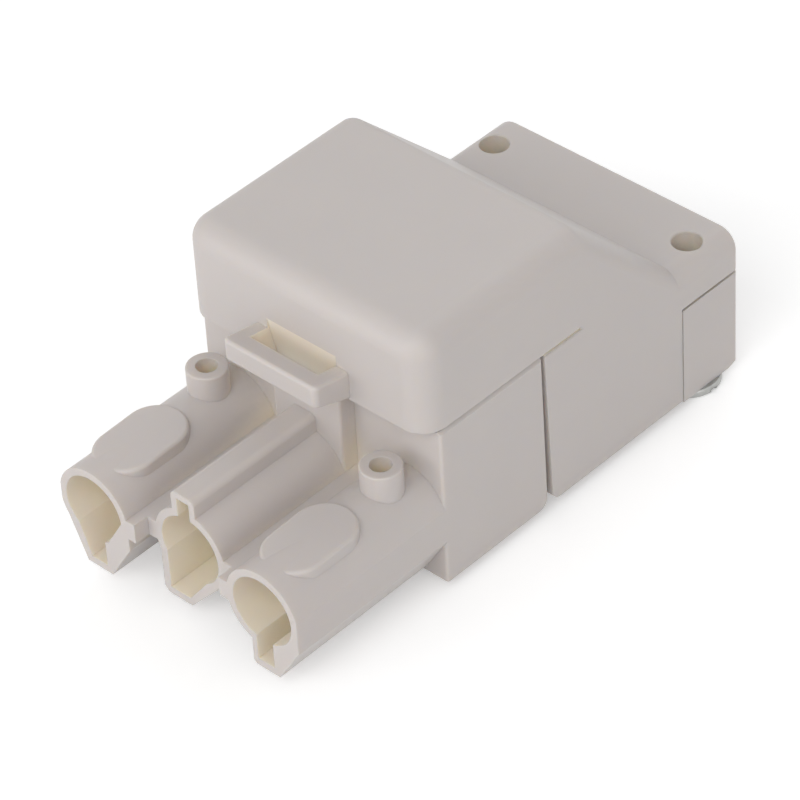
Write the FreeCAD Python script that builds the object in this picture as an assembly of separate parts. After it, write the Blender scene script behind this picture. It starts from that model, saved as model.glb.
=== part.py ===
# Three-pole lighting cable connector, plug half, with screw terminals and a cable clamp.
# Millimetres. X runs across the poles, Y runs from the mating tubes to the cable end, Z is up.
# The origin is under the middle of the whole part, on the surface that it lies on.
import FreeCAD, Part
import math
import os

# Whole part
LENGTH = 57.0
HALF_WIDTH = 14.0
WALL = 1.5
MOULD_R = 0.3
MARGIN = 1.0
MOUTH_Y = -LENGTH / 2
TAIL_Y = LENGTH / 2

# Contact carrier: mating tubes with their keels
POLE_PITCH = 10.0
POLES = {"left": -POLE_PITCH, "earth": 0.0, "right": POLE_PITCH}
POLE_Z = 8.2
TUBE_R = 4.1
BORE_R = 3.35
TUBE_LENGTH = 18.1
TUBE_FLOOR = 3.0
EARTH_SET_BACK = 1.6
KEEL_DROP = 6.6
KEEL_HALF = 1.5
FLANK_TOP = 2.4
LEFT_KEEL_X = 4.0
LEFT_KEEL_TOP = 0.9
RIGHT_KEEL_TOE = 0.3
EARTH_KEEL_X = 3.7
EARTH_KEEL_TOE = 0.5
EARTH_KEEL_FOOT = 0.4
EARTH_KNEE_X = 2.95
EARTH_KNEE_DROP = 2.9

# Contact carrier: keyways inside the tubes
KEYWAY_SKIN = 0.75
KEYWAY_TOP = 2.0
SLOT_HALF = 0.95
LEFT_SLOT_X = 2.4
EARTH_SLOT_LEFT = 2.9
EARTH_SLOT_RIGHT = 1.6
EARTH_SLOT_FOOT = 0.6
EARTH_SLOT_KNEE = 3.0
FLAT_HIGH_X = 3.4
FLAT_HIGH_RISE = 0.3
FLAT_LOW_X = 1.0
FLAT_LOW_DROP = 3.6

# Contact carrier: ridge, grip pads and webs on the tubes
RIDGE_LEFT = -1.75
RIDGE_RIGHT = 1.0
RIDGE_RISE = 5.8
RIDGE_SKIN = 0.65
RIDGE_EDGE_R = 0.6
PAD_HALF = 2.95
PAD_NEAR_RISE = 3.95
PAD_FAR_RISE = 4.3
PAD_SINK = 2.4
PAD_EDGE_R = 0.3
PAD_START = 1.35
PAD_LENGTH = 9.4
WEB_LOW = -1.05
WEB_HIGH = 0.95
WEB_REACH = 6.6

# Contact carrier: terminal block, nose and bosses
FRONT_Y = MOUTH_Y + TUBE_LENGTH
BLOCK_LOW_Z = 0.9
SEAM_Z = 17.7
BLOCK_DEPTH = 12.85
BLOCK_HEEL_R = 1.2
BLOCK_LEAN = 0.2
BLOCK_REAR_Y = FRONT_Y + BLOCK_DEPTH
FRONT_WALL = 2.0
PARTITION_X = 5.4
PARTITION_HALF = 0.8
NOSE_DEPTH = 1.75
NOSE_HALF = 4.0
BOSS_SPACING = 20.5
BOSS_R = 1.9
BOSS_RIM_R = 0.15
BOSS_HOLE_R = 1.0
BOSS_HOLE_DEPTH = 2.4
BOSS_AHEAD = 3.45
BOSS_TOP_Z = 14.65

# Upper housing: hood, ramp, shelf and rear side walls
HOOD_TOP_Z = 27.8
HOOD_FRONT_Y = FRONT_Y - NOSE_DEPTH
HOOD_REAR_Y = FRONT_Y + 18.4
HOOD_CORNER_R = 2.6
HOOD_EDGE_R = 2.3
HOOD_CREASE_R = 1.2
HOOD_CREASE_FLATS = 5
SEAM_GROOVE = 0.3
RAMP_FOOT_Y = FRONT_Y + 30.8
SHELF_Z = 15.7
RAMP_FALL = math.atan2(HOOD_TOP_Z - SHELF_Z, RAMP_FOOT_Y - HOOD_REAR_Y)
CREASE_START_Y = HOOD_REAR_Y - HOOD_CREASE_R * math.tan(RAMP_FALL / 2)
SHELF_EDGE_R = 1.95
TAIL_EDGE_R = 0.5
REAR_LOW_Z = 1.15
REAR_GAP_TOP = 0.3
REAR_GAP_LOW = 0.8
REAR_TOE_R = 1.0
SCORE_LENGTH = 5.2
SCORE_DEPTH = 0.06
SCORE_HALF = 0.1

# Upper housing: latch loop on the hood and the scoop behind it
LATCH_HALF = 5.4
LATCH_LEG = 1.4
LATCH_BAR = 1.9
LATCH_FRONT_Y = FRONT_Y - 5.8
LATCH_LOW_Z = 19.5
LATCH_HIGH_Z = 21.7
LATCH_ROOT_IN = 0.9
LATCH_ROOT_DROP = 0.9
LATCH_ROOT_LOW_Z = 17.75
LATCH_CORNER_R = 0.6
SCOOP_TOP_Z = 22.0
SCOOP_DEPTH = 0.9

# Cable clamp: jaw and screws
CLAMP_SPLIT_Z = 11.6
CLAMP_FRONT_Y = FRONT_Y + 31.2
CLAMP_GAP = 0.15
CLAMP_SLIT = 0.3
CABLE_R = 4.25
CABLE_Z = 8.4
JAW_LOW_Z = 0.9
JAW_EDGE_R = 0.5
JAW_BEVEL_Y = 1.3
JAW_BEVEL_Z = 0.4
GRIP_DEPTH = 0.4
GRIP_PITCH = 2.0
CLAMP_SCREW_X = 11.38
CLAMP_SCREW_Y = FRONT_Y + 35.0
CLAMP_SCREW_TOP_Z = 13.9
CLAMP_BORE_R = 1.4
CLAMP_CLEAR_R = 1.6
HOLE_BEVEL = 0.1
CLAMP_SHANK_R = 1.32
CLAMP_TIP_R = 0.66
CLAMP_TIP_LENGTH = 0.8
CLAMP_HEAD_R = 3.1
CLAMP_HEAD_EDGE_R = 0.4
CLAMP_HEAD_TOP_R = 0.2
CLAMP_SLOT_DEPTH = 0.5
SLOT_WIDTH = 0.8

# Bottom cover
COVER_THICK = 1.5
COVER_CLEAR = 0.1
COVER_RIB = 1.2
COVER_RIB_HALF = 0.5

# Contacts and terminals, one set for each pole
PIN_R = 1.8
PIN_TIP_BACK = 6.4
EARTH_LEAD = 1.4
PIN_HOLE_R = 1.85
COLLAR_R = 2.3
COLLAR_DEPTH = 1.0
TAIL_HALF = 1.5
TAIL_THICK = 1.2
TAIL_PROUD = 0.2
CAGE_HALF = 2.4
CAGE_FRONT_Y = FRONT_Y + 4.6
CAGE_DEPTH = 7.0
CAGE_LOW_Z = 4.5
CAGE_HIGH_Z = 12.5
WINDOW_HALF = 1.6
WINDOW_LOW_Z = 5.9
WINDOW_HIGH_Z = 10.5
PLATE_TOP_Z = 10.45
PLATE_THICK = 0.55
PLATE_LENGTH = 5.2
TERMINAL_Y = CAGE_FRONT_Y + CAGE_DEPTH / 2
TERMINAL_TRAVEL = 2.4
TERMINAL_CLEAR = 0.2
TERMINAL_SHANK_R = 1.42
TERMINAL_THREAD_R = 1.5
TERMINAL_HEAD_R = 2.1
TERMINAL_HEAD_HEIGHT = 1.8
TERMINAL_SLOT_DEPTH = 0.7


def box(x0, x1, y0, y1, z0, z1):
    return Part.makeBox(x1 - x0, y1 - y0, z1 - z0, FreeCAD.Vector(x0, y0, z0))


def rod_y(radius, x, z, y0, y1):
    return Part.makeCylinder(radius, y1 - y0, FreeCAD.Vector(x, y0, z), FreeCAD.Vector(0, 1, 0))


def rod_z(radius, x, y, z0, z1):
    return Part.makeCylinder(radius, z1 - z0, FreeCAD.Vector(x, y, z0))


def cone_z(low_r, high_r, x, y, z0, z1):
    return Part.makeCone(low_r, high_r, z1 - z0, FreeCAD.Vector(x, y, z0))


def prism_x(outline, x0, x1):
    """Pushes a (y, z) outline along X."""
    points = [FreeCAD.Vector(x0, y, z) for y, z in outline]
    return Part.Face(Part.makePolygon(points + points[:1])).extrude(FreeCAD.Vector(x1 - x0, 0, 0))


def prism_y(outline, y0, y1):
    """Pushes an (x, z) outline along Y."""
    points = [FreeCAD.Vector(x, y0, z) for x, z in outline]
    return Part.Face(Part.makePolygon(points + points[:1])).extrude(FreeCAD.Vector(0, y1 - y0, 0))


def join(first, *others):
    return first.multiFuse(list(others)).removeSplitter()


def near(value, target):
    return abs(value - target) < 1e-4


def runs_along_y(edge):
    return near(edge.BoundBox.XLength, 0) and near(edge.BoundBox.ZLength, 0)


def runs_along_z(edge):
    return near(edge.BoundBox.XLength, 0) and near(edge.BoundBox.YLength, 0)


def lies_level(edge):
    return near(edge.BoundBox.ZLength, 0)


def chosen_edges(shape, where, which):
    return [edge for edge in shape.Edges if all(where(v.Point) for v in edge.Vertexes) and which(edge)]


def soften(shape, radius, where, which=lambda edge: True):
    """Rounds the edges whose ends all pass the where test and that pass the which test."""
    return shape.makeFillet(radius, chosen_edges(shape, where, which))


def mouth_y(pole):
    return MOUTH_Y + (EARTH_SET_BACK if pole == "earth" else 0.0)


# Contact carrier

def keel_outline(pole):
    """The keyed lower part of a mating tube as (x, z) points about the pole axis."""
    flank = [(KEEL_HALF, -KEEL_DROP), (TUBE_R, -FLANK_TOP), (TUBE_R, 0)]
    if pole == "left":
        return [(-LEFT_KEEL_X, 0), (-LEFT_KEEL_X, -LEFT_KEEL_TOP), (-KEEL_HALF, -KEEL_DROP)] + flank
    if pole == "right":
        toe = [(-KEEL_HALF, RIGHT_KEEL_TOE - KEEL_DROP), (RIGHT_KEEL_TOE - KEEL_HALF, -KEEL_DROP)]
        return [(-KEEL_HALF, 0)] + toe + flank
    toe = [(-EARTH_KEEL_X, EARTH_KEEL_TOE - KEEL_DROP), (EARTH_KEEL_TOE - EARTH_KEEL_X, -KEEL_DROP)]
    knee = [(-EARTH_KEEL_FOOT, -KEEL_DROP), (EARTH_KNEE_X, -EARTH_KNEE_DROP), (TUBE_R, 0)]
    return [(-EARTH_KEEL_X, 0)] + toe + knee


def keyway_outline(pole):
    """The keyway under the round bore of a mating tube as (x, z) points about the pole axis."""
    floor = KEYWAY_SKIN - KEEL_DROP
    if pole == "earth":
        return [(-EARTH_SLOT_LEFT, 0), (-EARTH_SLOT_LEFT, floor), (-EARTH_SLOT_FOOT, floor),
                (EARTH_SLOT_RIGHT, -EARTH_SLOT_KNEE), (EARTH_SLOT_RIGHT, 0)]
    left_top = -LEFT_SLOT_X if pole == "left" else -SLOT_HALF
    return [(left_top, -KEYWAY_TOP), (-SLOT_HALF, floor), (SLOT_HALF, floor), (SLOT_HALF, -KEYWAY_TOP)]


def about_pole(pole, outline):
    return [(POLES[pole] + dx, POLE_Z + dz) for dx, dz in outline]


def grip_pad(x, front):
    """Round-ended pad on the crest of an outer tube, low at the mouth and raised towards the block."""
    start_y, end_y = front + PAD_START, front + PAD_START + PAD_LENGTH
    near_y, far_y = start_y + PAD_HALF, end_y - PAD_HALF
    low, high = POLE_Z + PAD_SINK, POLE_Z + PAD_FAR_RISE + MARGIN
    pad = join(box(x - PAD_HALF, x + PAD_HALF, near_y, far_y, low, high),
               rod_z(PAD_HALF, x, near_y, low, high), rod_z(PAD_HALF, x, far_y, low, high))
    climb = (PAD_FAR_RISE - PAD_NEAR_RISE) / PAD_LENGTH * MARGIN
    above = [(start_y - MARGIN, POLE_Z + PAD_NEAR_RISE - climb),
             (end_y + MARGIN, POLE_Z + PAD_FAR_RISE + climb),
             (end_y + MARGIN, high + MARGIN), (start_y - MARGIN, high + MARGIN)]
    pad = pad.cut(prism_x(above, x - TUBE_R, x + TUBE_R))
    return soften(pad, PAD_EDGE_R, lambda p: p.z > low)


def earth_ridge(front):
    top = POLE_Z + RIDGE_RISE
    ridge = box(RIDGE_LEFT, RIDGE_RIGHT, front, FRONT_Y, POLE_Z, top)
    return soften(ridge, RIDGE_EDGE_R, lambda p: near(p.z, top), runs_along_y)


def mating_tube(pole):
    """Round tube with its keel and its ridge or pad, before it is bored."""
    x, front = POLES[pole], mouth_y(pole)
    tube = rod_y(TUBE_R, x, POLE_Z, front, FRONT_Y + MARGIN)
    keel = prism_y(about_pole(pole, keel_outline(pole)), front, FRONT_Y + MARGIN)
    crest = earth_ridge(front) if pole == "earth" else grip_pad(x, front)
    return join(tube, keel, crest)


def tube_bore(pole):
    """Space inside a mating tube: bore, keyway, the left pole's flat and the earth pole's ridge."""
    x, front, back = POLES[pole], mouth_y(pole) - MARGIN, FRONT_Y - TUBE_FLOOR
    bore = rod_y(BORE_R, x, POLE_Z, front, back)
    if pole == "left":
        flat = [(FLAT_HIGH_X, FLAT_HIGH_RISE), (FLAT_LOW_X, -FLAT_LOW_DROP), (TUBE_R, -TUBE_R)]
        bore = bore.cut(prism_y(about_pole(pole, flat), front, back))
    keyway = prism_y(about_pole(pole, keyway_outline(pole)), front, back)
    if pole != "earth":
        return join(bore, keyway)
    ridge = box(RIDGE_LEFT + RIDGE_SKIN, RIDGE_RIGHT - RIDGE_SKIN, front, back,
                POLE_Z, POLE_Z + RIDGE_RISE - RIDGE_SKIN)
    return join(bore, keyway, ridge)


def tube_webs():
    """Webs that tie the outer tubes to the centre tube at the height of the poles."""
    half = POLE_PITCH / 2
    low, high = POLE_Z + WEB_LOW, POLE_Z + WEB_HIGH
    webs = []
    for side in (-1, 1):
        outer = sorted((side * half, side * WEB_REACH))
        inner = sorted((side * (POLE_PITCH - WEB_REACH), side * half))
        webs.append(box(*outer, MOUTH_Y, FRONT_Y, low, high))
        webs.append(box(*inner, MOUTH_Y + EARTH_SET_BACK, FRONT_Y, low, high))
    return webs


def terminal_block():
    """Box behind the front wall, with one chamber for each terminal, open above and behind."""
    heel_y = BLOCK_REAR_Y + BLOCK_LEAN
    outline = [(FRONT_Y, BLOCK_LOW_Z), (heel_y, BLOCK_LOW_Z), (BLOCK_REAR_Y, SEAM_Z), (FRONT_Y, SEAM_Z)]
    block = prism_x(outline, -HALF_WIDTH, HALF_WIDTH)
    block = soften(block, BLOCK_HEEL_R, lambda p: near(p.y, heel_y) and near(p.z, BLOCK_LOW_Z))
    block = soften(block, MOULD_R, lambda p: near(p.y, FRONT_Y) or near(p.z, BLOCK_LOW_Z),
                   lambda edge: not near(edge.CenterOfMass.z, SEAM_Z))
    for side in (-1, 1):
        face_x = side * HALF_WIDTH
        wedge = [(face_x, SEAM_Z), (face_x - side * SEAM_GROOVE, SEAM_Z), (face_x, SEAM_Z - SEAM_GROOVE)]
        block = block.cut(prism_y(wedge, FRONT_Y, heel_y))
    near_x, far_x = PARTITION_X + PARTITION_HALF, HALF_WIDTH - WALL
    middle_x = PARTITION_X - PARTITION_HALF
    for x0, x1 in ((-far_x, -near_x), (-middle_x, middle_x), (near_x, far_x)):
        block = block.cut(box(x0, x1, FRONT_Y + FRONT_WALL, heel_y + MARGIN,
                              BLOCK_LOW_Z + WALL, SEAM_Z + MARGIN))
    return block


def holed_boss(x):
    boss = rod_z(BOSS_R, x, FRONT_Y - BOSS_AHEAD, POLE_Z + BORE_R, BOSS_TOP_Z)
    return soften(boss, BOSS_RIM_R, lambda p: near(p.z, BOSS_TOP_Z))


def contact_carrier():
    """One moulding: keyed tubes, bosses, nose and terminal block."""
    nose = box(-NOSE_HALF, NOSE_HALF, HOOD_FRONT_Y, FRONT_Y + FRONT_WALL, POLE_Z, SEAM_Z)
    nose = soften(nose, MOULD_R, lambda p: near(p.y, HOOD_FRONT_Y), runs_along_z)
    boss_x = (-BOSS_SPACING / 2, BOSS_SPACING / 2)
    tubes = [mating_tube(pole) for pole in POLES]
    body = join(terminal_block(), nose, *tubes, *tube_webs(), *(holed_boss(x) for x in boss_x))
    body = body.common(box(-HALF_WIDTH, HALF_WIDTH, MOUTH_Y, BLOCK_REAR_Y + MARGIN, 0, SEAM_Z))
    for pole, x in POLES.items():
        body = body.cut(tube_bore(pole))
        body = body.cut(rod_y(PIN_HOLE_R, x, POLE_Z, FRONT_Y - TUBE_FLOOR - MARGIN, FRONT_Y + FRONT_WALL))
    for x in boss_x:
        body = body.cut(rod_z(BOSS_HOLE_R, x, FRONT_Y - BOSS_AHEAD,
                              BOSS_TOP_Z - BOSS_HOLE_DEPTH, BOSS_TOP_Z + MARGIN))
    return body


# Upper housing

def hood():
    """Raised cap over the terminals, soft on its front and sides, with a bevel along the seam."""
    def not_rear(edge):
        return not near(edge.CenterOfMass.y, CREASE_START_Y)

    cap = box(-HALF_WIDTH, HALF_WIDTH, HOOD_FRONT_Y, CREASE_START_Y, SEAM_Z, HOOD_TOP_Z)
    cap = soften(cap, HOOD_CORNER_R, lambda p: near(p.y, HOOD_FRONT_Y), runs_along_z)
    cap = soften(cap, HOOD_EDGE_R, lambda p: near(p.z, HOOD_TOP_Z), not_rear)
    return cap.makeChamfer(SEAM_GROOVE, chosen_edges(cap, lambda p: near(p.z, SEAM_Z), not_rear))


def rear_section(y, top_z, edge_r):
    """Outline across the rear body: square below, rounded where the top meets the sides."""
    half, mid = HALF_WIDTH, edge_r * math.sqrt(0.5)
    corners = {}
    for side in (-1, 1):
        foot = FreeCAD.Vector(side * half, y, REAR_LOW_Z)
        shoulder = FreeCAD.Vector(side * half, y, top_z - edge_r)
        middle = FreeCAD.Vector(side * (half - edge_r + mid), y, top_z - edge_r + mid)
        crown = FreeCAD.Vector(side * (half - edge_r), y, top_z)
        corners[side] = (foot, shoulder, middle, crown)
    right_foot, right_shoulder, right_middle, right_crown = corners[1]
    left_foot, left_shoulder, left_middle, left_crown = corners[-1]
    return Part.Wire([
        Part.makeLine(left_foot, right_foot), Part.makeLine(right_foot, right_shoulder),
        Part.Arc(right_shoulder, right_middle, right_crown).toShape(), Part.makeLine(right_crown, left_crown),
        Part.Arc(left_crown, left_middle, left_shoulder).toShape(), Part.makeLine(left_shoulder, left_foot)])


def crease_sections():
    """Sections that turn from the hood's top into the ramp in short flats."""
    sections = []
    for step in range(HOOD_CREASE_FLATS + 1):
        turn = RAMP_FALL * step / HOOD_CREASE_FLATS
        y = CREASE_START_Y + HOOD_CREASE_R * math.sin(turn)
        top_z = HOOD_TOP_Z - HOOD_CREASE_R * (1 - math.cos(turn))
        sections.append(rear_section(y, top_z, HOOD_EDGE_R))
    return sections


def rear_body():
    """Side walls, ramp and shelf behind the hood, as one solid block before it is hollowed."""
    toe_y = BLOCK_REAR_Y + REAR_GAP_LOW
    walls = prism_x([(BLOCK_REAR_Y + REAR_GAP_TOP, SEAM_Z), (toe_y, REAR_LOW_Z),
                     (HOOD_REAR_Y, REAR_LOW_Z), (HOOD_REAR_Y, SEAM_Z)], -HALF_WIDTH, HALF_WIDTH)
    walls = soften(walls, REAR_TOE_R, lambda p: near(p.y, toe_y) and near(p.z, REAR_LOW_Z))
    foot_section = rear_section(RAMP_FOOT_Y, SHELF_Z, SHELF_EDGE_R)
    ramp = Part.makeLoft(crease_sections() + [foot_section], True, True)
    shelf = Part.Face(foot_section).extrude(FreeCAD.Vector(0, TAIL_Y - RAMP_FOOT_Y, 0))
    shelf = shelf.cut(box(-HALF_WIDTH, HALF_WIDTH, CLAMP_FRONT_Y, TAIL_Y, 0, CLAMP_SPLIT_Z))
    shelf = soften(shelf, TAIL_EDGE_R, lambda p: near(p.y, TAIL_Y),
                   lambda edge: not near(edge.CenterOfMass.z, CLAMP_SPLIT_Z))
    return join(walls, ramp, shelf)


def latch_loop():
    """Loop on the hood's front face that the mating half hooks into."""
    root_y = HOOD_FRONT_Y + LATCH_ROOT_IN
    leg = [(LATCH_FRONT_Y, LATCH_LOW_Z), (LATCH_FRONT_Y, LATCH_HIGH_Z),
           (root_y, LATCH_HIGH_Z - LATCH_ROOT_DROP), (root_y, LATCH_ROOT_LOW_Z)]
    loop = prism_x(leg, -LATCH_HALF, LATCH_HALF)
    loop = soften(loop, LATCH_CORNER_R, lambda p: near(p.y, LATCH_FRONT_Y), runs_along_z)
    inner_half = LATCH_HALF - LATCH_LEG
    loop = loop.cut(box(-inner_half, inner_half, LATCH_FRONT_Y + LATCH_BAR, root_y + MARGIN,
                        SEAM_Z - MARGIN, HOOD_TOP_Z))
    return soften(loop, MOULD_R, lambda p: p.y < LATCH_FRONT_Y + LATCH_BAR / 2, lies_level)


def scoop():
    """Slope cut into the hood's face so that the hook can reach behind the loop's bar."""
    inner_half = LATCH_HALF - LATCH_LEG
    slope = [(HOOD_FRONT_Y, SCOOP_TOP_Z), (HOOD_FRONT_Y + SCOOP_DEPTH, SEAM_Z), (HOOD_FRONT_Y, SEAM_Z)]
    return prism_x(slope, -inner_half, inner_half)


def housing_inside():
    """Wiring space under the hood and the ramp."""
    rear_y = CLAMP_FRONT_Y - WALL
    ceiling = HOOD_TOP_Z - WALL
    bend_y = HOOD_REAR_Y - WALL * math.tan(RAMP_FALL / 2)
    rear_ceiling = ceiling - math.tan(RAMP_FALL) * (rear_y - bend_y)
    inner_half = HALF_WIDTH - WALL
    return prism_x([(HOOD_FRONT_Y + WALL, 0), (HOOD_FRONT_Y + WALL, ceiling), (bend_y, ceiling),
                    (rear_y, rear_ceiling), (rear_y, 0)], -inner_half, inner_half)


def upper_housing():
    """One moulding: hood, latch loop, ramp, shelf and rear side walls."""
    shell = join(hood(), rear_body()).cut(housing_inside())
    shell = join(shell.cut(scoop()), latch_loop())
    shell = shell.cut(rod_y(CABLE_R, 0, CABLE_Z, CLAMP_FRONT_Y - WALL - MARGIN, TAIL_Y + MARGIN))
    for side in (-1, 1):
        x = side * CLAMP_SCREW_X
        shell = shell.cut(rod_z(CLAMP_BORE_R, x, CLAMP_SCREW_Y, 0, SHELF_Z + MARGIN))
        shell = shell.cut(cone_z(CLAMP_BORE_R, CLAMP_BORE_R + HOLE_BEVEL, x, CLAMP_SCREW_Y,
                                 SHELF_Z - HOLE_BEVEL, SHELF_Z))
        face_x = side * HALF_WIDTH
        score_x = sorted((face_x, face_x - side * SCORE_DEPTH))
        shell = shell.cut(box(*score_x, BLOCK_REAR_Y, BLOCK_REAR_Y + SCORE_LENGTH,
                              SEAM_Z - SCORE_HALF, SEAM_Z + SCORE_HALF))
    return shell


def bottom_cover():
    """Plate between the side walls, under the wires, with two stiffening ribs."""
    half = HALF_WIDTH - WALL
    front, back = BLOCK_REAR_Y + REAR_GAP_LOW + COVER_CLEAR, CLAMP_FRONT_Y - WALL
    top = REAR_LOW_Z + COVER_THICK
    plate = box(-half, half, front, back, REAR_LOW_Z, top)
    ribs = [box(x - COVER_RIB_HALF, x + COVER_RIB_HALF, front + MARGIN, back - MARGIN, top, top + COVER_RIB)
            for x in (-half / 2, half / 2)]
    return join(plate, *ribs)


# Cable clamp

def clamp_jaw():
    """Lower half of the cable clamp, a trough that the two screws pull up to the shelf."""
    front, top = CLAMP_FRONT_Y + CLAMP_GAP, CLAMP_SPLIT_Z - CLAMP_SLIT
    jaw = prism_x([(front, JAW_LOW_Z), (TAIL_Y - JAW_BEVEL_Y, JAW_LOW_Z), (TAIL_Y, JAW_LOW_Z + JAW_BEVEL_Z),
                   (TAIL_Y, top), (front, top)], -HALF_WIDTH, HALF_WIDTH)
    jaw = soften(jaw, JAW_EDGE_R, lambda p: near(p.y, TAIL_Y), runs_along_z)
    jaw = jaw.cut(rod_y(CABLE_R, 0, CABLE_Z, front - MARGIN, TAIL_Y + MARGIN))
    jaw = jaw.cut(box(-CABLE_R, CABLE_R, front - MARGIN, TAIL_Y + MARGIN, CABLE_Z, top + MARGIN))
    for step in (-1, 0, 1):
        y = (front + TAIL_Y) / 2 + step * GRIP_PITCH
        groove = Part.makeCone(CABLE_R, CABLE_R + GRIP_DEPTH, GRIP_DEPTH,
                               FreeCAD.Vector(0, y - GRIP_DEPTH, CABLE_Z), FreeCAD.Vector(0, 1, 0))
        jaw = jaw.cut(groove)
    for side in (-1, 1):
        jaw = jaw.cut(rod_z(CLAMP_CLEAR_R, side * CLAMP_SCREW_X, CLAMP_SCREW_Y, 0, top + MARGIN))
    return jaw


def slotted(screw, x, y, reach, z0, z1):
    """Cuts a straight driver slot right across a screw's head."""
    half = SLOT_WIDTH / 2
    return screw.cut(box(x - reach, x + reach, y - half, y + half, z0, z1))


def clamp_screw(side):
    """Slotted screw from below, its head under the jaw and its end inside the shelf."""
    x, y = side * CLAMP_SCREW_X, CLAMP_SCREW_Y
    head = rod_z(CLAMP_HEAD_R, x, y, 0, JAW_LOW_Z)
    head = soften(head, CLAMP_HEAD_EDGE_R, lambda p: near(p.z, 0), lies_level)
    head = soften(head, CLAMP_HEAD_TOP_R, lambda p: near(p.z, JAW_LOW_Z), lies_level)
    shank_end = CLAMP_SCREW_TOP_Z - CLAMP_TIP_LENGTH
    shank = rod_z(CLAMP_SHANK_R, x, y, JAW_LOW_Z / 2, shank_end)
    tip = cone_z(CLAMP_SHANK_R, CLAMP_TIP_R, x, y, shank_end, CLAMP_SCREW_TOP_Z)
    return slotted(join(head, shank, tip), x, y, CLAMP_HEAD_R + MARGIN, 0, CLAMP_SLOT_DEPTH)


# Contacts and terminals

def contact_pin(pole):
    """Round-nosed pin with a collar behind the front wall and a flat tail in its terminal."""
    x = POLES[pole]
    nose_y = mouth_y(pole) + PIN_TIP_BACK - (EARTH_LEAD if pole == "earth" else 0.0) + PIN_R
    wall_y = FRONT_Y + FRONT_WALL
    nose = Part.makeSphere(PIN_R, FreeCAD.Vector(x, nose_y, POLE_Z))
    pin = rod_y(PIN_R, x, POLE_Z, nose_y, wall_y + COLLAR_DEPTH)
    collar = rod_y(COLLAR_R, x, POLE_Z, wall_y, wall_y + COLLAR_DEPTH)
    tail = box(x - TAIL_HALF, x + TAIL_HALF, wall_y, CAGE_FRONT_Y + CAGE_DEPTH + TAIL_PROUD,
               WINDOW_LOW_Z, WINDOW_LOW_Z + TAIL_THICK)
    return join(pin, nose, collar, tail)


def terminal_cage(pole):
    """Open box clamp around the pin's tail, threaded on top for its screw."""
    x, rear_y = POLES[pole], CAGE_FRONT_Y + CAGE_DEPTH
    cage = box(x - CAGE_HALF, x + CAGE_HALF, CAGE_FRONT_Y, rear_y, CAGE_LOW_Z, CAGE_HIGH_Z)
    cage = cage.cut(box(x - WINDOW_HALF, x + WINDOW_HALF, CAGE_FRONT_Y - MARGIN, rear_y + MARGIN,
                        WINDOW_LOW_Z, WINDOW_HIGH_Z))
    return cage.cut(rod_z(TERMINAL_THREAD_R, x, TERMINAL_Y, WINDOW_HIGH_Z - MARGIN, CAGE_HIGH_Z + MARGIN))


def pressure_plate(pole):
    """Leaf that spreads the screw's force over the wire, shown fully open."""
    x, half = POLES[pole], PLATE_LENGTH / 2
    return box(x - TAIL_HALF, x + TAIL_HALF, TERMINAL_Y - half, TERMINAL_Y + half,
               PLATE_TOP_Z - PLATE_THICK, PLATE_TOP_Z)


def terminal_screw(pole):
    x = POLES[pole]
    head_z = CAGE_HIGH_Z + TERMINAL_TRAVEL + TERMINAL_CLEAR
    top_z = head_z + TERMINAL_HEAD_HEIGHT
    shank = rod_z(TERMINAL_SHANK_R, x, TERMINAL_Y, PLATE_TOP_Z, head_z)
    head = rod_z(TERMINAL_HEAD_R, x, TERMINAL_Y, head_z, top_z)
    return slotted(join(shank, head), x, TERMINAL_Y, TERMINAL_HEAD_R + MARGIN,
                   top_z - TERMINAL_SLOT_DEPTH, top_z)


nodes = {
    "contact_carrier": contact_carrier(),
    "upper_housing": upper_housing(),
    "bottom_cover": bottom_cover(),
    "clamp_jaw": clamp_jaw(),
    "clamp_screw_left": clamp_screw(-1),
    "clamp_screw_right": clamp_screw(1),
}
for pole in POLES:
    nodes[f"contact_pin_{pole}"] = contact_pin(pole)
    nodes[f"terminal_cage_{pole}"] = terminal_cage(pole)
    nodes[f"terminal_screw_{pole}"] = terminal_screw(pole)
    nodes[f"pressure_plate_{pole}"] = pressure_plate(pole)

os.makedirs("parts", exist_ok=True)
for name, shape in nodes.items():
    solids = len(shape.Solids)
    print(f"{name}: {solids} solid, volume {shape.Volume:.1f} mm3, valid {shape.isValid()}")
    shape.exportStep(f"parts/{name}.step")
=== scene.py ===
import math

import bmesh
import bpy
from mathutils import Matrix, Vector


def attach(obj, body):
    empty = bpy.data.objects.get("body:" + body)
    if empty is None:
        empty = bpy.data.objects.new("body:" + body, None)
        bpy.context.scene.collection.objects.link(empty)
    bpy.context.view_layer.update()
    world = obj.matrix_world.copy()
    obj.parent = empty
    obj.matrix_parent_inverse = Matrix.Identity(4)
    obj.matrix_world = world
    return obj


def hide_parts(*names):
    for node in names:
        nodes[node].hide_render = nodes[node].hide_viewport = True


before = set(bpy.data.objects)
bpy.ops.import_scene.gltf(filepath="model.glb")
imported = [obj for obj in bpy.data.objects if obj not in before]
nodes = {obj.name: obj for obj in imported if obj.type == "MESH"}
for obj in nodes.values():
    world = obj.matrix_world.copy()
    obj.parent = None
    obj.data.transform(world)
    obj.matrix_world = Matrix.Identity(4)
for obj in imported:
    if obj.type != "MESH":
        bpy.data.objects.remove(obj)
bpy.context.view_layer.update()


# Contact carrier: one ivory polyamide moulding with the three mating tubes and the terminal block.
# Its skin is the fine spark-eroded surface of the mould, with a small radius on every edge.
# The plastic lets some light through: a real share by subsurface, and the rest as painted light, a
# brighter, warmer colour in recesses and deep inside the tubes and holes.
MM = 0.001
IVORY = (0.560, 0.522, 0.508, 1.0)
IVORY_DRIFT = (0.590, 0.545, 0.520, 1.0)
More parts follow.
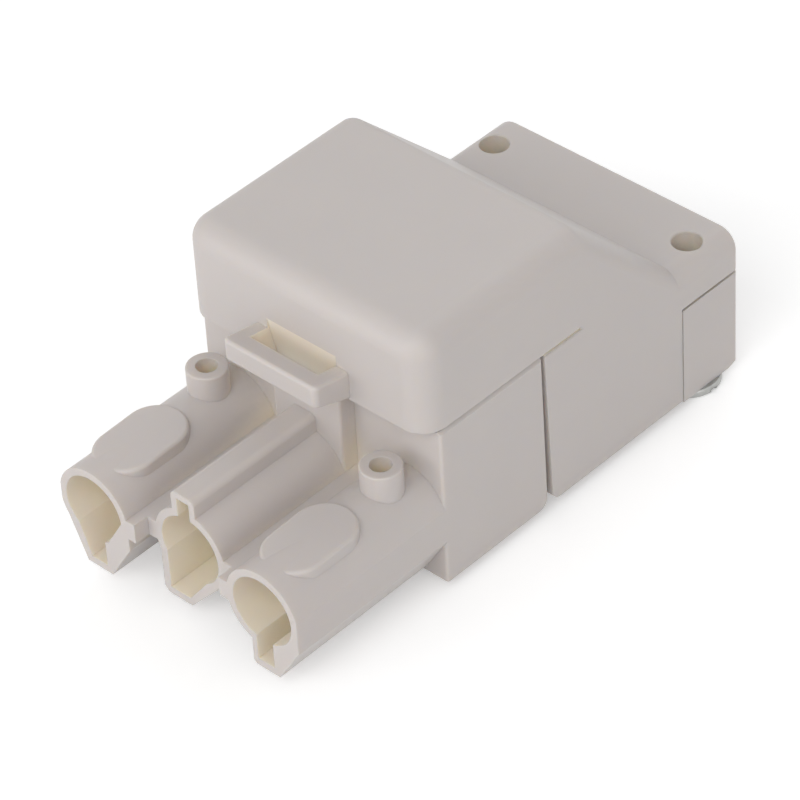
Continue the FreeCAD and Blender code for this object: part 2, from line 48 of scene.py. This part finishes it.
# Painted light: the brighter, warmer colour laid on recesses and tube insides, standing in for light
# that passes through the plastic.
PAINTED_LIGHT_IVORY = (0.940, 0.860, 0.720, 1.0)
DRIFT_SCALE = 110.0
SKIN_SPECULAR = 0.4
SKIN_ROUGHNESS = (0.38, 0.5)
GRAIN_SCALE = 5200.0
GRAIN_STRENGTH = 0.14
GRAIN_DEPTH = 0.02 * MM
MOULD_EDGE = 0.12 * MM
EDGE_SAMPLES = 3
GLOW_SHARE = 0.4
GLOW_TINT = (1.0, 0.75, 0.45)
GLOW_REACH = 1.4 * MM
PAINTED_LIGHT_REACH = 7.0 * MM
PAINTED_LIGHT_SAMPLES = 6
FULL_PAINTED_LIGHT_BELOW = 0.1
CARRIER_PAINTED_LIGHT_UP_TO = 0.32
POLE_PITCH = 10.0
POLE_Z = 8.2
MOUTH_Y = -28.5
BOSSES_Y = -15.9
WEB_FROM_POLE = 4.6
LOOKS_INWARD = -0.1
PAINTED_LIGHT_DEPTH = 6.0
PAINTED_LIGHT_AT_MOUTH = 0.55


def add_node(tree, kind, values=None, **settings):
    """A new shader node with its settings, and fixed values on its sockets."""
    node = tree.nodes.new(kind)
    for setting, value in settings.items():
        setattr(node, setting, value)
    for socket, value in (values or {}).items():
        node.inputs[socket].default_value = value
    return node


def moulded_polyamide(name, painted_light_up_to):
    """Matt ivory plastic: tone that drifts with the melt, painted light as a brighter, warmer colour in
    recesses, mould grain, soft edges.
    """
    material = bpy.data.materials.new(name)
    material.use_nodes = True
    tree = material.node_tree
    shader = tree.nodes["Principled BSDF"]
    shader.inputs["Specular IOR Level"].default_value = SKIN_SPECULAR
    shader.inputs["Subsurface Weight"].default_value = GLOW_SHARE
    shader.inputs["Subsurface Radius"].default_value = GLOW_TINT
    shader.inputs["Subsurface Scale"].default_value = GLOW_REACH
    place = add_node(tree, "ShaderNodeTexCoord", name="place")

    drift = add_node(tree, "ShaderNodeTexNoise", {"Scale": DRIFT_SCALE, "Detail": 3.0})
    tone = add_node(tree, "ShaderNodeMix", {"A": IVORY, "B": IVORY_DRIFT}, data_type="RGBA")
    openness = add_node(tree, "ShaderNodeAmbientOcclusion", {"Distance": PAINTED_LIGHT_REACH},
                        only_local=True, samples=PAINTED_LIGHT_SAMPLES)
    plainness = add_node(tree, "ShaderNodeMapRange",
                         {"From Min": FULL_PAINTED_LIGHT_BELOW, "From Max": painted_light_up_to}, name="plainness")
    # Painted light: mixes the brighter, warmer colour into faces that ambient occlusion finds closed
    # in.
    painted_light_mix = add_node(tree, "ShaderNodeMix", {"A": PAINTED_LIGHT_IVORY}, data_type="RGBA", name="painted_light_mix")
    tree.links.new(place.outputs["Object"], drift.inputs["Vector"])
    tree.links.new(drift.outputs["Fac"], tone.inputs["Factor"])
    tree.links.new(openness.outputs["AO"], plainness.inputs["Value"])
    tree.links.new(plainness.outputs["Result"], painted_light_mix.inputs["Factor"])
    tree.links.new(tone.outputs["Result"], painted_light_mix.inputs["B"])
    tree.links.new(painted_light_mix.outputs["Result"], shader.inputs["Base Color"])

    grain = add_node(tree, "ShaderNodeTexNoise", {"Scale": GRAIN_SCALE, "Detail": 2.0})
    smoothest, roughest = SKIN_ROUGHNESS
    gloss = add_node(tree, "ShaderNodeMapRange", {"To Min": smoothest, "To Max": roughest})
    edges = add_node(tree, "ShaderNodeBevel", {"Radius": MOULD_EDGE}, samples=EDGE_SAMPLES)
    relief = add_node(tree, "ShaderNodeBump", {"Strength": GRAIN_STRENGTH, "Distance": GRAIN_DEPTH})
    tree.links.new(place.outputs["Object"], grain.inputs["Vector"])
    tree.links.new(grain.outputs["Fac"], gloss.inputs["Value"])
    tree.links.new(gloss.outputs["Result"], shader.inputs["Roughness"])
    tree.links.new(grain.outputs["Fac"], relief.inputs["Height"])
    tree.links.new(edges.outputs["Normal"], relief.inputs["Normal"])
    tree.links.new(relief.outputs["Normal"], shader.inputs["Normal"])
    return material


def finish_node(name, material):
    """Gives a built piece its one material."""
    mesh = nodes[name].data
    mesh.materials.clear()
    mesh.materials.append(material)


def reckon(tree, kind, operation, values):
    """One node of arithmetic on sockets and fixed values."""
    step = add_node(tree, kind, operation=operation)
    for socket, value in zip(step.inputs, values):
        if isinstance(value, bpy.types.NodeSocket):
            tree.links.new(value, socket)
        else:
            socket.default_value = value
    return step.outputs


def number(tree, operation, *values):
    return reckon(tree, "ShaderNodeMath", operation, values)["Value"]


def vector(tree, operation, *values):
    outputs = reckon(tree, "ShaderNodeVectorMath", operation, values)
    return outputs["Value" if operation == "DOT_PRODUCT" else "Vector"]


def components(tree, whole):
    split = add_node(tree, "ShaderNodeSeparateXYZ")
    tree.links.new(whole, split.inputs["Vector"])
    return split.outputs


def paint_light_where(material, light_mask):
    """Adds painted light, the brighter, warmer colour, by a mask of 0 to 1, besides the recesses."""
    tree = material.node_tree
    unmasked = number(tree, "SUBTRACT", 1.0, light_mask)
    plainest = number(tree, "MINIMUM", unmasked, tree.nodes["plainness"].outputs["Result"])
    tree.links.new(plainest, tree.nodes["painted_light_mix"].inputs["Factor"])


def painted_light_in_tubes(tree):
    """A mask for painted light on the tubes' faces that look to their own pole, stronger further behind
    the mouth.
    """
    place = tree.nodes["place"]
    half = POLE_PITCH / 2 * MM
    from_poles = vector(tree, "SUBTRACT", place.outputs["Object"], (0, 0, POLE_Z * MM))
    from_nearest = vector(tree, "WRAP", from_poles, (half, 1, 1), (-half, -1, -1))
    outward = vector(tree, "NORMALIZE", vector(tree, "MULTIPLY", from_nearest, (1, 0, 1)))
    facing = vector(tree, "DOT_PRODUCT", outward, place.outputs["Normal"])
    along = components(tree, place.outputs["Object"])["Y"]
    sideways = number(tree, "ABSOLUTE", components(tree, from_nearest)["X"])
    behind_mouth = add_node(tree, "ShaderNodeMapRange",
                            {"From Min": MOUTH_Y * MM, "From Max": (MOUTH_Y + PAINTED_LIGHT_DEPTH) * MM,
                             "To Min": PAINTED_LIGHT_AT_MOUTH})
    tree.links.new(along, behind_mouth.inputs["Value"])
    inward = number(tree, "LESS_THAN", facing, LOOKS_INWARD)
    before_bosses = number(tree, "LESS_THAN", along, BOSSES_Y * MM)
    beside_webs = number(tree, "LESS_THAN", sideways, WEB_FROM_POLE * MM)
    on_tube = number(tree, "MULTIPLY", before_bosses, beside_webs)
    in_tube = number(tree, "MULTIPLY", inward, on_tube)
    return number(tree, "MULTIPLY", in_tube, behind_mouth.outputs["Result"])


# Painted light on the carrier: its recesses and the insides of its tubes get the brighter, warmer
# colour.
carrier_ivory = moulded_polyamide("carrier_ivory", CARRIER_PAINTED_LIGHT_UP_TO)
paint_light_where(carrier_ivory, painted_light_in_tubes(carrier_ivory.node_tree))
finish_node("contact_carrier", carrier_ivory)


# Contact pins: turned brass with a round nose, a collar behind the front wall and a flat tail.
# They are pushed in from behind, and the middle one, the earth, stands further forward.
POLES = {"left": -POLE_PITCH, "earth": 0.0, "right": POLE_PITCH}
BRASS = (0.56, 0.40, 0.16, 1.0)
BRASS_DARK = (0.44, 0.30, 0.11, 1.0)
STREAK_SCALE = 2600.0
STREAK_STRENGTH = 0.12
STREAK_DEPTH = 0.01 * MM


def worked_metal(name, bright, dull, smoothest, roughest, stretch):
    """Bright metal with drawn or turned streaks along one direction."""
    material = bpy.data.materials.new(name)
    material.use_nodes = True
    tree = material.node_tree
    shader = tree.nodes["Principled BSDF"]
    shader.inputs["Metallic"].default_value = 1.0
    place = add_node(tree, "ShaderNodeTexCoord")
    lay = add_node(tree, "ShaderNodeMapping", {"Scale": stretch})
    streaks = add_node(tree, "ShaderNodeTexNoise", {"Scale": STREAK_SCALE, "Detail": 3.0})
    tone = add_node(tree, "ShaderNodeMix", {"A": bright, "B": dull}, data_type="RGBA")
    gloss = add_node(tree, "ShaderNodeMapRange", {"To Min": smoothest, "To Max": roughest})
    relief = add_node(tree, "ShaderNodeBump", {"Strength": STREAK_STRENGTH, "Distance": STREAK_DEPTH})
    tree.links.new(place.outputs["Object"], lay.inputs["Vector"])
    tree.links.new(lay.outputs["Vector"], streaks.inputs["Vector"])
    tree.links.new(streaks.outputs["Fac"], tone.inputs["Factor"])
    tree.links.new(tone.outputs["Result"], shader.inputs["Base Color"])
    tree.links.new(streaks.outputs["Fac"], gloss.inputs["Value"])
    tree.links.new(gloss.outputs["Result"], shader.inputs["Roughness"])
    tree.links.new(streaks.outputs["Fac"], relief.inputs["Height"])
    tree.links.new(relief.outputs["Normal"], shader.inputs["Normal"])
    return material


turned_brass = worked_metal("turned_brass", BRASS, BRASS_DARK, 0.2, 0.34, stretch=(0.3, 1.0, 0.3))
for pole in POLES:
    finish_node(f"contact_pin_{pole}", turned_brass)


# Terminal cages: open brass box clamps that hang around the pins' tails, with a threaded top.
# They are sawn from extruded bar, so their streaks run along the wire.
extruded_brass = worked_metal("extruded_brass", BRASS, BRASS_DARK, 0.26, 0.42, stretch=(1.0, 0.12, 1.0))
for pole in POLES:
    finish_node(f"terminal_cage_{pole}", extruded_brass)


# Pressure plates: small stamped leaves of zinc-plated steel between the screw and the wire.
# Each one slides up and down in its cage, and stands fully up here.
ZINC = (0.50, 0.505, 0.49, 1.0)
ZINC_DULL = (0.38, 0.385, 0.37, 1.0)

stamped_zinc = worked_metal("stamped_zinc", ZINC, ZINC_DULL, 0.24, 0.4, stretch=(0.25, 1.0, 1.0))
for pole in POLES:
    finish_node(f"pressure_plate_{pole}", stamped_zinc)


# Terminal screws: zinc-plated steel with a straight slot, threaded through the tops of the cages.
# The head is formed cold and the thread is rolled on the shank.
# Each screw pushes its plate down on the wire, and all stand fully open here.
TERMINAL_Y = -2.3
TERMINAL_SHANK = {"neck": 15.0, "up": -1, "length": 4.55, "core": 1.18, "crest": 1.42,
                  "tip": 1.0, "tip_length": 0.3, "pitch": 0.5, "start": 0.3, "turns": 8}
SAME_POINT = 0.0005 * MM
STEPS_ROUND = 32
CORE_FOOT = 0.3
CREST_SHARE = 0.07
ROOT_SHARE = 0.36
ROOT_SINK = 0.05
RUN_OUT = 0.7
SHARP_EDGE = math.radians(35)

rolled_zinc = worked_metal("rolled_zinc", ZINC, ZINC_DULL, 0.24, 0.4, stretch=(1.0, 1.0, 0.25))


def threaded_screw(node, x, y, shank):
    """The slotted head as built, with a core and a right-hand thread in place of the plain shank."""
    up = shank["up"]
    neck = Vector((x, y, shank["neck"])) * MM
    axis = Vector((0, 0, up))
    bm = bmesh.new()
    bm.from_mesh(nodes[node].data)
    bmesh.ops.remove_doubles(bm, verts=bm.verts, dist=SAME_POINT)
    bmesh.ops.bisect_plane(bm, geom=bm.verts[:] + bm.edges[:] + bm.faces[:], dist=SAME_POINT,
                           plane_co=neck, plane_no=axis, clear_outer=True)
    bmesh.ops.holes_fill(bm, edges=[edge for edge in bm.edges if edge.is_boundary])

    def at(radius, along):
        return bm.verts.new(neck + Vector((radius, 0, up * along)) * MM)

    length = shank["length"]
    core = [at(0, -CORE_FOOT), at(shank["core"], -CORE_FOOT),
            at(shank["core"], length - shank["tip_length"]), at(shank["tip"], length), at(0, length)]
    outline = [bm.edges.new(pair) for pair in zip(core, core[1:])]
    bmesh.ops.spin(bm, geom=core + outline, cent=neck, axis=axis, angle=math.tau,
                   steps=STEPS_ROUND, use_merge=True)
    bmesh.ops.remove_doubles(bm, verts=bm.verts, dist=SAME_POINT)

    pitch, turns, first = shank["pitch"], shank["turns"], shank["start"]
    root = shank["core"] - ROOT_SINK
    before = set(bm.verts)
    ring = [at(root, first - ROOT_SHARE * pitch), at(shank["crest"], first - CREST_SHARE * pitch),
            at(shank["crest"], first + CREST_SHARE * pitch), at(root, first + ROOT_SHARE * pitch)]
    section = bm.faces.new(ring)
    bmesh.ops.spin(bm, geom=ring + section.edges[:] + [section], cent=neck, axis=axis,
                   angle=math.tau * turns, steps=STEPS_ROUND * turns,
                   dvec=axis * pitch / STEPS_ROUND * MM)
    for vert in set(bm.verts) - before:
        away = vert.co - neck
        along = up * away.z / MM - first
        started = max(0.0, along / (RUN_OUT * pitch))
        left = max(0.0, (turns - along / pitch) / RUN_OUT)
        full = min(1.0, started, left)
        away.z = 0
        radius = away.length / MM
        vert.co += away.normalized() * (root + (radius - root) * full - radius) * MM
    bmesh.ops.recalc_face_normals(bm, faces=bm.faces)

    mesh = bpy.data.meshes.new(f"{node}_threaded")
    bm.to_mesh(mesh)
    bm.free()
    mesh.shade_smooth()
    mesh.set_sharp_from_angle(angle=SHARP_EDGE)
    mesh.materials.append(rolled_zinc)
    screw = bpy.data.objects.new(f"{node}_threaded", mesh)
    bpy.context.scene.collection.objects.link(screw)
    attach(screw, node)
    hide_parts(node)


for pole, x in POLES.items():
    threaded_screw(f"terminal_screw_{pole}", x, TERMINAL_Y, TERMINAL_SHANK)


# Upper housing: the hood, latch loop, ramp, shelf and rear side walls, moulded as one piece.
# It is pressed down over the carrier, and the seam between the two stays visible.
# Painted light: recesses of the housing, and the pocket behind the latch bar, get the brighter, warmer
# colour.
HOUSING_PAINTED_LIGHT_UP_TO = 0.5
POCKET_MIDDLE = (0, -12.3, 19.8)
POCKET_HALF = (4.02, 2.05, 2.2)
POCKET_PAINTED_LIGHT = 0.7


def painted_light_in_pocket(tree):
    """A mask for painted light on the faces in the box behind the latch loop's bar, lifting them out of
    the bar's shade.
    """
    middle, half = (Vector(size) * MM for size in (POCKET_MIDDLE, POCKET_HALF))
    from_middle = vector(tree, "SUBTRACT", tree.nodes["place"].outputs["Object"], middle)
    past_side = vector(tree, "SUBTRACT", vector(tree, "ABSOLUTE", from_middle), half)
    past = components(tree, past_side)
    furthest = number(tree, "MAXIMUM", past["Z"], number(tree, "MAXIMUM", past["X"], past["Y"]))
    inside = number(tree, "LESS_THAN", furthest, 0.0)
    return number(tree, "MULTIPLY", inside, POCKET_PAINTED_LIGHT)


housing_ivory = moulded_polyamide("housing_ivory", HOUSING_PAINTED_LIGHT_UP_TO)
paint_light_where(housing_ivory, painted_light_in_pocket(housing_ivory.node_tree))
finish_node("upper_housing", housing_ivory)


# Bottom cover: a plain ivory plate with two ribs, snapped in between the side walls.
# It closes the wiring space from below.
# The housing's ivory paints brighter, warmer light into this piece's recesses too.
finish_node("bottom_cover", housing_ivory)


# Clamp jaw: the lower half of the cable clamp, the same ivory polyamide.
# Two screws pull it up against the cable.
# The housing's ivory paints brighter, warmer light into this piece's recesses too.
finish_node("clamp_jaw", housing_ivory)


# Clamp screws: zinc-plated thread-forming screws with a low slotted head and a coarse thread.
# They go in from below, through the jaw and up into the shelf.
CLAMP_SCREWS = {"left": -11.38, "right": 11.38}
CLAMP_SCREW_Y = 24.6
CLAMP_SHANK = {"neck": 1.0, "up": 1, "length": 12.9, "core": 1.0, "crest": 1.36,
               "tip": 0.6, "tip_length": 0.9, "pitch": 1.1, "start": 0.9, "turns": 10}

for side, x in CLAMP_SCREWS.items():
    threaded_screw(f"clamp_screw_{side}", x, CLAMP_SCREW_Y, CLAMP_SHANK)


# Floor: a white studio sheet that keeps a soft shadow and shows white to the eye and in reflections.
# The world round it is white too, and gives a plain level of light from all sides.
WHITE = (1.0, 1.0, 1.0, 1.0)
FLOOR_HALF = 3.0
FLOOR_COLOUR = (0.93, 0.93, 0.93, 1.0)
FLOOR_ROUGHNESS = 0.9
FLOOR_LIFT = 0.3
WORLD_LIGHT = 0.51


def seen_directly(tree):
    """1 for what the camera, a reflection or a view through a clear piece shows, otherwise 0."""
    path = add_node(tree, "ShaderNodeLightPath")
    seen = path.outputs["Is Camera Ray"]
    for ray in ("Is Glossy Ray", "Is Transmission Ray"):
        seen = number(tree, "MAXIMUM", seen, path.outputs[ray])
    return seen


bm = bmesh.new()
bmesh.ops.create_grid(bm, x_segments=1, y_segments=1, size=FLOOR_HALF)
floor_mesh = bpy.data.meshes.new("floor")
bm.to_mesh(floor_mesh)
bm.free()
floor = bpy.data.objects.new("floor", floor_mesh)
bpy.context.scene.collection.objects.link(floor)

paper = bpy.data.materials.new("white_sheet")
paper.use_nodes = True
tree = paper.node_tree
shader = tree.nodes["Principled BSDF"]
shader.inputs["Base Color"].default_value = FLOOR_COLOUR
shader.inputs["Roughness"].default_value = FLOOR_ROUGHNESS
shader.inputs["Specular IOR Level"].default_value = 0.0
shader.inputs["Emission Color"].default_value = WHITE
lift = add_node(tree, "ShaderNodeMapRange", {"To Min": 0.0, "To Max": FLOOR_LIFT})
tree.links.new(seen_directly(tree), lift.inputs["Value"])
tree.links.new(lift.outputs["Result"], shader.inputs["Emission Strength"])
floor_mesh.materials.append(paper)

world = bpy.data.worlds.new("studio")
bpy.context.scene.world = world
world.use_nodes = True
tree = world.node_tree
background = tree.nodes["Background"]
background.inputs["Color"].default_value = WHITE
level = add_node(tree, "ShaderNodeMapRange", {"To Min": WORLD_LIGHT, "To Max": 1.0})
tree.links.new(seen_directly(tree), level.inputs["Value"])
tree.links.new(level.outputs["Result"], background.inputs["Strength"])


# Studio lamps: broad soft squares above behind, low in front, above in front and low at the right.
# Each one lights the faces on its own side, and all stand well back, so that the faces shade evenly.
LAMPS = {"rear_lamp": ((-0.3, 0.7, 0.62), 1.2),
         "front_lamp": ((-0.35, -0.9, 0.25), 2.2),
         "main_lamp": ((0.25, -0.68, 0.68), 3.1),
         "right_lamp": ((0.8, -0.4, 0.26), 0.95)}
LAMP_SIZE = 0.6
OBJECT_MIDDLE = Vector((0, 0, 0.012))

for name, (place, watts) in LAMPS.items():
    light = bpy.data.lights.new(name, "AREA")
    light.shape = "SQUARE"
    light.size = LAMP_SIZE
    light.energy = watts
    lamp = bpy.data.objects.new(name, light)
    lamp.location = place
    lamp.rotation_euler = (Vector(place) - OBJECT_MIDDLE).to_track_quat("Z", "Y").to_euler()
    bpy.context.scene.collection.objects.link(lamp)


# Camera: a long lens from above, in front and to the right, with the picture turned a little.
# Its focal length is held in pixels of the square picture.
CAMERA_AZIMUTH = math.radians(45.11)
CAMERA_ELEVATION = math.radians(39.79)
CAMERA_ROLL = math.radians(-3.63)
CAMERA_EYE = Vector((205.9, -206.0, 249.9)) * MM
NEAREST_SEEN = 10.0 * MM
SENSOR = 36.0
FOCAL_PIXELS = 4325.5
PICTURE_PIXELS = 800

camera_data = bpy.data.cameras.new("camera")
camera_data.sensor_width = SENSOR
camera_data.lens = FOCAL_PIXELS * SENSOR / PICTURE_PIXELS
camera_data.clip_start = NEAREST_SEEN
camera = bpy.data.objects.new("camera", camera_data)
bpy.context.scene.collection.objects.link(camera)
back = Vector((math.sin(CAMERA_AZIMUTH) * math.cos(CAMERA_ELEVATION),
               -math.cos(CAMERA_AZIMUTH) * math.cos(CAMERA_ELEVATION), math.sin(CAMERA_ELEVATION)))
right = Vector((math.cos(CAMERA_AZIMUTH), math.sin(CAMERA_AZIMUTH), 0))
up = back.cross(right)
right_rolled = right * math.cos(CAMERA_ROLL) + up * math.sin(CAMERA_ROLL)
up_rolled = up * math.cos(CAMERA_ROLL) - right * math.sin(CAMERA_ROLL)
turn = Matrix((right_rolled, up_rolled, back)).transposed().to_4x4()
camera.matrix_world = Matrix.Translation(CAMERA_EYE) @ turn
bpy.context.scene.camera = camera
bpy.context.scene.view_settings.view_transform = "Standard"
